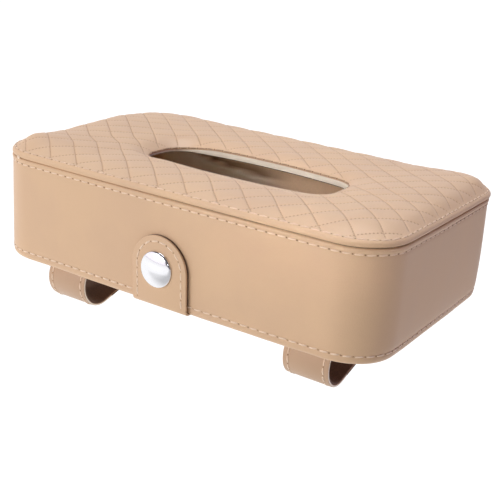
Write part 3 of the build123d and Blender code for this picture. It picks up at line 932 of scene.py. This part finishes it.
sewOutline("slotEdge", slotShape, 0.14, 57.95, 5.25, 160.0, "case", threadDark, shift=lipDrop)
print("quilted lid and its stitching made")


# the end of the wall's thread is knotted at the left end of the seam
knotLook = {"place": (-97.0, -71.1, 54.0), "radius": 1.0, "flat": (1.15, 0.8, 1.0)}


def makeKnot(look):
    deselectAll()
    bpy.ops.mesh.primitive_uv_sphere_add(segments=20, ring_count=12, radius=look["radius"] * mm)
    bpy.ops.transform.resize(value=look["flat"])
    bpy.ops.transform.translate(value=tuple(c * mm for c in look["place"]))
    bpy.ops.object.transform_apply(location=True, rotation=True, scale=True)
    knot = bpy.context.object
    knot.name = "threadKnot"
    unevenly(knot, 0.5, 1.2, 4.4)
    return closePiece(knot, threadFinish)


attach(makeKnot(knotLook), "case")


# lid board and the cloth under it, cut to the slot
plateLook = {
    "steps": {"side": 12, "back": 24, "end": 12, "corner": 8},
    "lidBoard": {"inset": 1.15, "outset": 3.65, "low": 54.05, "high": 56.05, "node": "lid_board", "finish": "board"},
    "lidLining": {"inset": 4.15, "outset": 3.65, "low": 53.2, "high": 54.0, "node": "lid_lining", "finish": "lining_cloth"},
}


def makePlate(name, look):
    # rims round the case and round the slot, joined above and below
    low, high = look["low"], look["high"]
    rims = ((name, caseShape, -look["inset"], (low, high)), (name + "Hole", slotShape, look["outset"], (high, low)))
    pieces = []
    for rimName, shape, grow, heights in rims:
        pieces.append(sectionRing(rimName, shape, [(grow, z) for z in heights], plateLook["steps"], closed=False))
        bpy.ops.object.mode_set(mode="OBJECT")
    deselectAll()
    for piece in pieces:
        piece.select_set(True)
    plate = pieces[0]
    bpy.context.view_layer.objects.active = plate
    bpy.ops.object.join()
    bpy.ops.object.mode_set(mode="EDIT")
    for level in (low, high):
        selectWhere(plate, "edges", lambda e: e.is_boundary and all(abs(v.co.z - level * mm) < 0.00002 for v in e.verts))
        bpy.ops.mesh.bridge_edge_loops(interpolation="LINEAR")
    return closePiece(plate, finishes[look["finish"]])


for name in ("lidBoard", "lidLining"):
    plate = makePlate(name, plateLook[name])
    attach(plate, "case")
    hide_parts(plateLook[name]["node"])


# slot ring: a cream moulded ring below the lip, and the lining's turned edge bound under it, the binding in dark suede
# as a painted shadow line
ringLook = {
    "steps": {"side": 24, "back": 48, "end": 16, "corner": 20},
    "ring": [
        (0.5, 54.0), (0.32, 54.3), (0.3, 56.4), (0.5, 56.9), (1.0, 57.15), (1.5, 57.0), (1.75, 56.5), (1.8, 55.9),
        (1.6, 55.55), (1.25, 55.4), (1.2, 54.3), (1.0, 53.95),
    ],
    "binding": [
        (2.1, 53.15), (1.95, 53.3), (1.9, 53.9), (1.95, 55.1), (2.2, 55.4), (2.6, 55.3), (3.2, 54.4), (3.6, 53.5), (3.4, 53.15),
    ],
}
slotRing = closePiece(sectionRing("slotRing", slotShape, ringLook["ring"], ringLook["steps"]), finishes["cream_trim"])
for v in slotRing.data.vertices:
    # the ring's top follows the lip and its foot stays level
    v.co.z += lipDrop(*(v.co / mm)).z * mm * (v.co.z / mm - 53.9) / 3.3
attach(slotRing, "case")
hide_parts("slot_frame")
# dark suede on the binding is painted shade: it shows as a shadow line under the ring
slotBinding = closePiece(sectionRing("slotBinding", slotShape, ringLook["binding"], ringLook["steps"]), finishes["dark_backing"])
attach(slotBinding, "case")
print("slot ring and binding made")


# snap tab: one leather tongue sewn under the door, bent up round the hem, with a dark backing
tabLook = {
    "middleX": 1.4,
    "lean": 0.062,
    "width": 32.8,
    "roundHeight": 18.9,
    "leatherY": -74.45,
    "leather": 1.2,
    "bendRadius": 2.0,
    "rootEnd": -53.6,
    "rootZ": -0.9,
    "backingY": -73.3,
    "backing": 0.95,
    "backingStart": 4.0,
}


def tongueTop(name, look, y, trim):
    # half disc for the round top, left in edit mode with its straight lower edge selected
    deselectAll()
    radius = look["width"] / 2 - trim
    bpy.ops.mesh.primitive_circle_add(
        vertices=72, radius=radius * mm, rotation=(math.radians(90), 0, 0),
        location=(look["middleX"] * mm, y * mm, look["roundHeight"] * mm),
    )
    bpy.ops.object.transform_apply(location=True, rotation=True, scale=True)
    tongue = bpy.context.object
    tongue.name = name
    tongue.data.name = name
    level = look["roundHeight"] * mm
    bpy.ops.object.mode_set(mode="EDIT")
    selectWhere(tongue, "verts", lambda v: v.co.z < level - 0.0001)
    bpy.ops.mesh.delete(type="VERT")
    bpy.ops.mesh.select_all(action="SELECT")
    bpy.ops.mesh.edge_face_add()
    selectWhere(tongue, "edges", lambda e: all(abs(v.co.z - level) < 0.00005 for v in e.verts))
    return tongue


def giveThickness(piece, thickness, rim, segments=3):
    bpy.ops.mesh.select_all(action="SELECT")
    bpy.ops.mesh.remove_doubles(threshold=0.00001)
    bpy.ops.mesh.normals_make_consistent(inside=False)
    bpy.ops.object.mode_set(mode="OBJECT")
    applyModifier(piece, "SOLIDIFY", thickness=thickness * mm, offset=0.0)
    applyModifier(piece, "BEVEL", width=rim * mm, segments=segments, limit_method="ANGLE", angle_limit=math.radians(50))


def makeTabLeather(look):
    tongue = tongueTop("tabTongue", look, look["leatherY"], 0.0)
    r = look["bendRadius"]
    bend = (look["leatherY"] + r, look["rootZ"] + r)
    heights = [look["roundHeight"] - k * (look["roundHeight"] - bend[1]) / 6 for k in range(7)]
    drawOn((0, 0, heights[0]), [(0, 0, z) for z in heights[1:]])
    bpy.ops.mesh.spin(steps=8, angle=math.radians(90), center=(0, bend[0] * mm, bend[1] * mm), axis=(-1, 0, 0))
    drawOn((0, bend[0], 0), [(0, bend[0] + k * (look["rootEnd"] - bend[0]) / 5, 0) for k in range(1, 6)])
    giveThickness(tongue, look["leather"], 0.4)
    return closePiece(tongue, finishes["leather"])


def makeTabBacking(look):
    backing = tongueTop("tabBacking", look, look["backingY"], 0.0)
    drawOn((0, 0, look["roundHeight"]), [(0, 0, look["backingStart"])])
    giveThickness(backing, look["backing"], 0.2, 2)
    return closePiece(backing, finishes["dark_backing"])


def tabFrames(look, inset, pitch, first):
    # up the left side, over the round top and down the right side
    radius = look["width"] / 2 - inset
    rise = look["roundHeight"] - 1.6
    total = 2 * rise + math.pi * radius
    step = total / round(total / pitch)
    face = look["leatherY"] - look["leather"] / 2
    frames = []
    for k in range(round(total / step)):
        run = (k + first) * step
        if run < rise:
            point, along = (-radius, 1.6 + run), (0, 1)
        elif run < rise + math.pi * radius:
            angle = math.pi - (run - rise) / radius
            point = (radius * math.cos(angle), look["roundHeight"] + radius * math.sin(angle))
            along = (math.sin(angle), -math.cos(angle))
        else:
            point, along = (radius, look["roundHeight"] - (run - rise - math.pi * radius)), (0, -1)
        place = Vector((look["middleX"] + point[0], face, point[1]))
        frames.append((place, Vector((along[0], 0, along[1])), Vector((0, -1, 0))))
    return frames


def lean(piece, look):
    # the tongue is sewn on a little askew, so it leans about the cap
    for v in piece.data.vertices:
        v.co.x -= (v.co.z - capLook["height"] * mm) * look["lean"]
    return piece


# chrome cap: a shallow dome with a rolled rim, on its stem
capLook = {
    "height": 18.2,
    "profile": [
        (0.0, -78.1), (1.6, -78.04), (3.2, -77.86), (4.8, -77.57), (6.4, -77.14), (7.6, -76.72), (8.4, -76.4),
        (8.9, -76.12), (9.2, -75.8), (9.3, -75.5), (9.22, -75.24), (9.0, -75.1), (7.6, -75.08), (2.0, -75.08), (2.0, -72.85), (0.0, -72.85),
    ],
}


tabTongue = lean(makeTabLeather(tabLook), tabLook)
unevenly(tabTongue, 0.12, 14.0, 5.5)
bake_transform(tabTongue)
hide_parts("tab_leather", "tab_root")
tabBacking = lean(makeTabBacking(tabLook), tabLook)
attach(tabBacking, "snap_tab")
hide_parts("tab_backing")
for kind, model, first, finish in (("Thread", stitchModel, 0.5, threadFinish), ("Holes", holeModel, 0.0, holePale)):
    row = copiesAlong("tab" + kind, model, tabFrames(tabLook, 3.0, 4.9, first), finish)
    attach(lean(row, tabLook), "snap_tab")
print("snap tab made")


def makeSnapCap(look):
    places = [(r, y, look["height"]) for r, y in look["profile"]]
    cap = startPoint("snapCap", places[0])
    drawOn(places[0], places[1:])
    bpy.ops.mesh.select_all(action="SELECT")
    bpy.ops.mesh.spin(steps=72, angle=math.radians(360), center=(0, 0, look["height"] * mm), axis=(0, 1, 0))
    bpy.ops.mesh.select_all(action="SELECT")
    bpy.ops.mesh.remove_doubles(threshold=0.00001)
    return closePiece(cap, finishes["chrome"], 50.0)


snapCap = makeSnapCap(capLook)
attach(snapCap, "snap_tab")
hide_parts("snap_cap")
print("snap cap made")


# visor straps: each a leather band with a dark backing, sewn under the door, round its loop
# and back up to the hook-and-loop patch
strapLook = {
    "width": {"left": 26.4, "right": 25.0},
    "loopY": -43.7,
    "loopRadius": {"left": 14.1, "right": 13.0},
    "anchorEnd": -13.7,
    "turn": 197.5,
    "rise": 17.5,
    "bendRadius": 30.0,
    "tailEnd": 57.8,
    "leather": {"deep": 0.6, "thickness": 1.2, "flatZ": -3.85, "trim": 0.0, "rim": 0.4},
    "backing": {"deep": 1.65, "thickness": 0.8, "flatZ": -2.8, "trim": 0.25, "rim": 0.25},
}


def strapRuns(look, layer, loop):
    # the loop's middle and this layer's radius, the run up the tail and the middle of its bend
    loopZ = -0.05 - loop
    radius = loop - layer["deep"]
    rise = math.radians(look["rise"])
    end = math.radians(90 + look["turn"])
    y = look["loopY"] + radius * math.cos(end)
    z = loopZ + radius * math.sin(end)
    slope = (layer["flatZ"] - z) / math.sin(rise)
    straight = slope - look["bendRadius"] * math.tan(rise / 2)
    bendY = y + straight * math.cos(rise) + look["bendRadius"] * math.sin(rise)
    bendZ = z + straight * math.sin(rise) - look["bendRadius"] * math.cos(rise)
    return loopZ, radius, (y, z), straight, (bendY, bendZ)


def makeStrap(name, middle, look, layer, loop, width):
    loopZ, radius, tailStart, straight, bend = strapRuns(look, layer, loop)
    deselectAll()
    bpy.ops.mesh.primitive_plane_add(size=1.0, rotation=(math.radians(90), 0, 0))
    bpy.ops.transform.resize(value=((width - 2 * layer["trim"]) * mm, 1.0, layer["thickness"] * mm))
    bpy.ops.object.transform_apply(location=True, rotation=True, scale=True)
    strap = bpy.context.object
    strap.name = name
    strap.data.name = name
    top = loopZ + radius
    bpy.ops.object.mode_set(mode="EDIT")
    bpy.ops.mesh.select_all(action="SELECT")
    bpy.ops.mesh.bevel(offset=layer["rim"] * mm, segments=3, affect="VERTICES")
    bpy.ops.mesh.select_all(action="SELECT")
    bpy.ops.transform.translate(value=(middle * mm, look["anchorEnd"] * mm, top * mm))
    ends = [(middle, look["anchorEnd"] - k * (look["anchorEnd"] - look["loopY"]) / 6, top) for k in range(7)]
    drawOn(ends[0], ends[1:])
    centre = (0, look["loopY"] * mm, loopZ * mm)
    bpy.ops.mesh.spin(steps=56, angle=math.radians(look["turn"]), center=centre, axis=(-1, 0, 0))
    rise = math.radians(look["rise"])
    step = (0, math.cos(rise) * straight / 14, math.sin(rise) * straight / 14)
    drawOn((0, 0, 0), [tuple(c * k for c in step) for k in range(1, 15)])
    bpy.ops.mesh.spin(steps=6, angle=-rise, center=(0, bend[0] * mm, bend[1] * mm), axis=(-1, 0, 0))
    run = look["tailEnd"] - bend[0]
    drawOn((0, 0, 0), [(0, run * k / 4, 0) for k in range(1, 5)])
    return strap


def strapFrames(middle, off, look, pitch, first, loop):
    # stitches on the leather side, from the sewn end round the loop and along the tail
    layer = look["leather"]
    loopZ, radius, tailStart, straight, bend = strapRuns(look, layer, loop)
    radius += layer["thickness"] / 2
    arc = radius * math.radians(look["turn"])
    rise = math.radians(look["rise"])
    frames = []
    run = first * pitch
    while run < arc + straight - 3.0:
        if run < arc:
            angle = math.radians(90) + run / radius
            out = Vector((0, math.cos(angle), math.sin(angle)))
            point = Vector((middle + off, look["loopY"], loopZ)) + out * radius
            along = Vector((0, -math.sin(angle), math.cos(angle)))
        else:
            out = Vector((0, math.sin(rise), -math.cos(rise)))
            along = Vector((0, math.cos(rise), math.sin(rise)))
            start = Vector((middle + off, tailStart[0], tailStart[1])) + out * layer["thickness"] / 2
            point = start + along * (run - arc)
        frames.append((point, along, out))
        run += pitch
    return frames


def paintCutEdge(piece, pale, dark):
    # the band's cut edge is cream round the loop, brightened nearly to white as a painted highlight, and dark along the
    # tail
    piece.data.materials.append(pale)
    piece.data.materials.append(dark)
    for face in piece.data.polygons:
        if abs(face.normal.x) > 0.75:
            face.material_index = 2 if face.center.y > -0.036 and face.center.z < -0.002 else 1


for side, middle in (("left", -75.3), ("right", 76.0)):
    tail = side + "_strap_tail"
    loop, width = strapLook["loopRadius"][side], strapLook["width"][side]
    leather = closePiece(makeStrap(side + "Strap", middle, strapLook, strapLook["leather"], loop, width), shadedStrapLeather)
    paintCutEdge(leather, creamEdgeHighlight, finishes["dark_backing"])
    unevenly(leather, 0.15, 12.0, 2.0 + middle)
    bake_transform(leather)
    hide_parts(side + "_strap_loop_leather", tail + "_leather")
    backing = makeStrap(side + "StrapBacking", middle, strapLook, strapLook["backing"], loop, width)
    closePiece(backing, finishes["dark_backing"])
    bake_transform(backing)
    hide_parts(side + "_strap_loop_backing", tail + "_backing")
    for edge, off in (("Left", 2.9 - width / 2), ("Right", width / 2 - 2.9)):
        for kind, model, first, finish in (("Thread", stitchModel, 0.5, threadFinish), ("Holes", holeModel, 0.0, holePale)):
            frames = strapFrames(middle, off, strapLook, 4.9, first, loop)
            row = copiesAlong(side + "Strap" + edge + kind, model, frames, finish)
            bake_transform(row)
print("visor straps made")


# hinge strip: leather sewn to the door and wrapped round the rear hem, bending between them
hingeLook = {"reach": 85.0, "path": [(59.0, -0.45), (61.5, -0.45), (64.0, -0.45), (66.5, -0.45), (68.0, -0.45), (69.4, -0.45), (70.7, -0.45)]}


def makeHingeStrip(look):
    back = caseShape["arcs"][4]
    places = [(0.0, y, z) for y, z in look["path"]]
    strip = startPoint("rearHingeStrip", places[0])
    drawOn(places[0], places[1:])
    for k in range(1, 9):
        angle = math.radians(-90 + 90 * k / 8)
        last = math.radians(-90 + 90 * (k - 1) / 8)
        step = (0, 2.25 * (math.cos(angle) - math.cos(last)), 2.25 * (math.sin(angle) - math.sin(last)))
        drawOn((0, 0, 0), [step])
    drawOn((0, 0, 0), [(0, 0, 2.55 * k) for k in range(1, 5)])
    sweep = look["reach"] / back[1]
    for way in (1, -1):
        selectWhere(strip, "verts", lambda v: abs(v.co.x) < 0.00002)
        bpy.ops.mesh.spin(steps=16, angle=way * sweep, center=(0, back[0][1] * mm, 0), axis=(0, 0, -1))
    giveThickness(strip, 0.8, 0.25, 2)
    return closePiece(strip, finishes["leather"])


hingeStrip = makeHingeStrip(hingeLook)
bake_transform(hingeStrip)
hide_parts("rear_hinge_door_leaf", "rear_hinge_wall_leaf")


def straightFrames(start, end, out, pitch, first):
    run = Vector(end) - Vector(start)
    count = round(run.length / pitch)
    return [(Vector(start) + run * ((k + first) / count), run.normalized(), Vector(out)) for k in range(count)]


hingeRows = {
    "case": [((-82, 72.62, 9.6), (0, 73.36, 9.6), (0, 1, 0)), ((0, 73.36, 9.6), (82, 72.62, 9.6), (0, 1, 0))],
    "bottom_door": [((-82, 61.2, -0.86), (82, 61.2, -0.86), (0, 0, -1))],
}
for body, rows in hingeRows.items():
    for k, (start, end, out) in enumerate(rows):
        rowName = "hingeRow" + body.title().replace("_", "") + str(k)
        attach(copiesAlong(rowName + "Thread", stitchModel, straightFrames(start, end, out, 5.25, 0.5), threadFinish), body)
        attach(copiesAlong(rowName + "Holes", holeModel, straightFrames(start, end, out, 5.25, 0.0), holeFinish), body)
print("hinge strip made")


# bottom door: leather panel with a turned edge and its stitching
doorLook = {
    "section": [(-9.0, 1.0), (-5.2, 1.0), (-4.95, 0.85), (-4.9, 0.5), (-5.0, 0.2), (-5.4, 0.02), (-6.4, 0.0), (-9.0, 0.0)],
    "steps": {"side": 30, "back": 60, "end": 36, "corner": 14},
}


def makeDoorLeather(look):
    door = sectionRing("doorLeather", caseShape, look["section"], look["steps"], closed=False)
    for level in (1.0, 0.0):
        selectWhere(door, "edges", lambda e: e.is_boundary and all(abs(v.co.z - level * mm) < 0.00002 for v in e.verts))
        bpy.ops.mesh.edge_face_add()
    return closePiece(door, finishes["leather"])


doorLeather = makeDoorLeather(doorLook)
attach(doorLeather, "bottom_door")
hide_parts("door_cover")
sewOutline("doorEdge", caseShape, -8.4, 0.0, 5.25, -90.0, "bottom_door")
print("bottom door made")

# floor and light
deselectAll()
bpy.ops.mesh.primitive_plane_add(size=floorLook["reach"], location=(0, 0, floorLook["height"]))
floor = bpy.context.object
floor.name = "paleFloor"
floor.data.materials.append(makeFloor("paleFloor", floorLook, photoCamera))

lightLook = {
    "sky": 0.14,
    "horizon": 0.9,
    "bandTop": 0.08,
    "backdrop": 0.75,
    "backdropWay": (-0.527, 0.85, 0.0),
    "window": 1.2,
    "windowWay": (-0.66, -0.75, 0.0),
    "tint": (1.0, 0.955, 1.02, 1.0),
    "lamps": {
        "front": {"place": (-0.78, -1.5, 0.54), "aim": (0.0, 0.0, 0.03), "size": 0.32, "power": 6.8, "colour": (1.0, 1.0, 1.0)},
        "near": {"place": (-0.2, -1.66, 0.55), "aim": (0.0, 0.0, 0.03), "size": 0.45, "power": 2.6, "colour": (1.0, 1.0, 1.0)},
        "top": {"place": (-0.1, 0.25, 1.5), "aim": (0.0, 0.0, 0.03), "size": 1.2, "power": 18.6, "colour": (0.96, 1.02, 1.13)},
        "side": {"place": (1.3, 0.7, 0.4), "aim": (0.0, 0.0, 0.03), "size": 0.6, "power": 1.2, "colour": (0.67, 0.1, 1.0)},
        # a narrow beam from beside the camera into the slot
        "slot": {
            "place": (0.315, -0.497, 0.206), "aim": (0.02, 0.02, 0.052), "size": 0.08, "power": 0.0062,
            "colour": (1.0, 1.0, 1.0), "spread": 13.0,
        },
    },
}


def addLamp(name, look):
    lamp = bpy.data.lights.new(name, "AREA")
    lamp.shape = "DISK"
    lamp.size = look["size"]
    lamp.energy = look["power"]
    lamp.color = look["colour"]
    lamp.spread = math.radians(look.get("spread", 180.0))
    light = bpy.data.objects.new(name, lamp)
    scene.collection.objects.link(light)
    way = Vector(look["aim"]) - Vector(look["place"])
    light.matrix_world = Matrix.Translation(look["place"]) @ way.to_track_quat("-Z", "Y").to_matrix().to_4x4()


for lampName, lampLook in lightLook["lamps"].items():
    addLamp(lampName + "Lamp", lampLook)


def makeStudio(look):
    # a bright band at the horizon, a pale backdrop behind the holder and a dimmer ceiling
    world = bpy.data.worlds.new("studio")
    scene.world = world
    world.use_nodes = True
    tree = world.node_tree
    new = tree.nodes.new
    coords = new("ShaderNodeTexCoord")
    split = new("ShaderNodeSeparateXYZ")
    tree.links.new(coords.outputs["Generated"], split.inputs[0])

    def ease(source, start, end, low, high):
        fall = new("ShaderNodeMapRange")
        fall.interpolation_type = "SMOOTHSTEP"
        for name, value in (("From Min", start), ("From Max", end), ("To Min", low), ("To Max", high)):
            fall.inputs[name].default_value = value
        tree.links.new(source, fall.inputs["Value"])
        return fall.outputs["Result"]

    def joined(operation, first, second):
        sum = new("ShaderNodeMath")
        sum.operation = operation
        tree.links.new(first, sum.inputs[0])
        tree.links.new(second, sum.inputs[1])
        return sum.outputs[0]

    def towards(way):
        aim = new("ShaderNodeVectorMath")
        aim.operation = "DOT_PRODUCT"
        aim.inputs[1].default_value = way
        tree.links.new(coords.outputs["Generated"], aim.inputs[0])
        return aim.outputs["Value"]

    up = split.outputs[2]
    light = ease(up, 0.0, look["bandTop"], look["horizon"], look["sky"])
    backdrop = joined(
        "MULTIPLY",
        ease(towards(look["backdropWay"]), 0.25, 0.85, 0.0, look["backdrop"]),
        ease(up, 0.3, 0.75, 1.0, 0.0),
    )
    window = joined(
        "MULTIPLY",
        ease(towards(look["windowWay"]), 0.62, 0.8, 0.0, look["window"]),
        joined("MULTIPLY", ease(up, -0.02, 0.03, 0.0, 1.0), ease(up, 0.5, 0.6, 1.0, 0.0)),
    )
    background = tree.nodes["Background"]
    background.inputs["Color"].default_value = look["tint"]
    brightest = joined("MAXIMUM", light, joined("MAXIMUM", backdrop, window))
    tree.links.new(brightest, background.inputs["Strength"])


makeStudio(lightLook)
scene.view_settings.view_transform = "Standard"

for model in (stitchModel, holeModel):
    bpy.data.objects.remove(model)
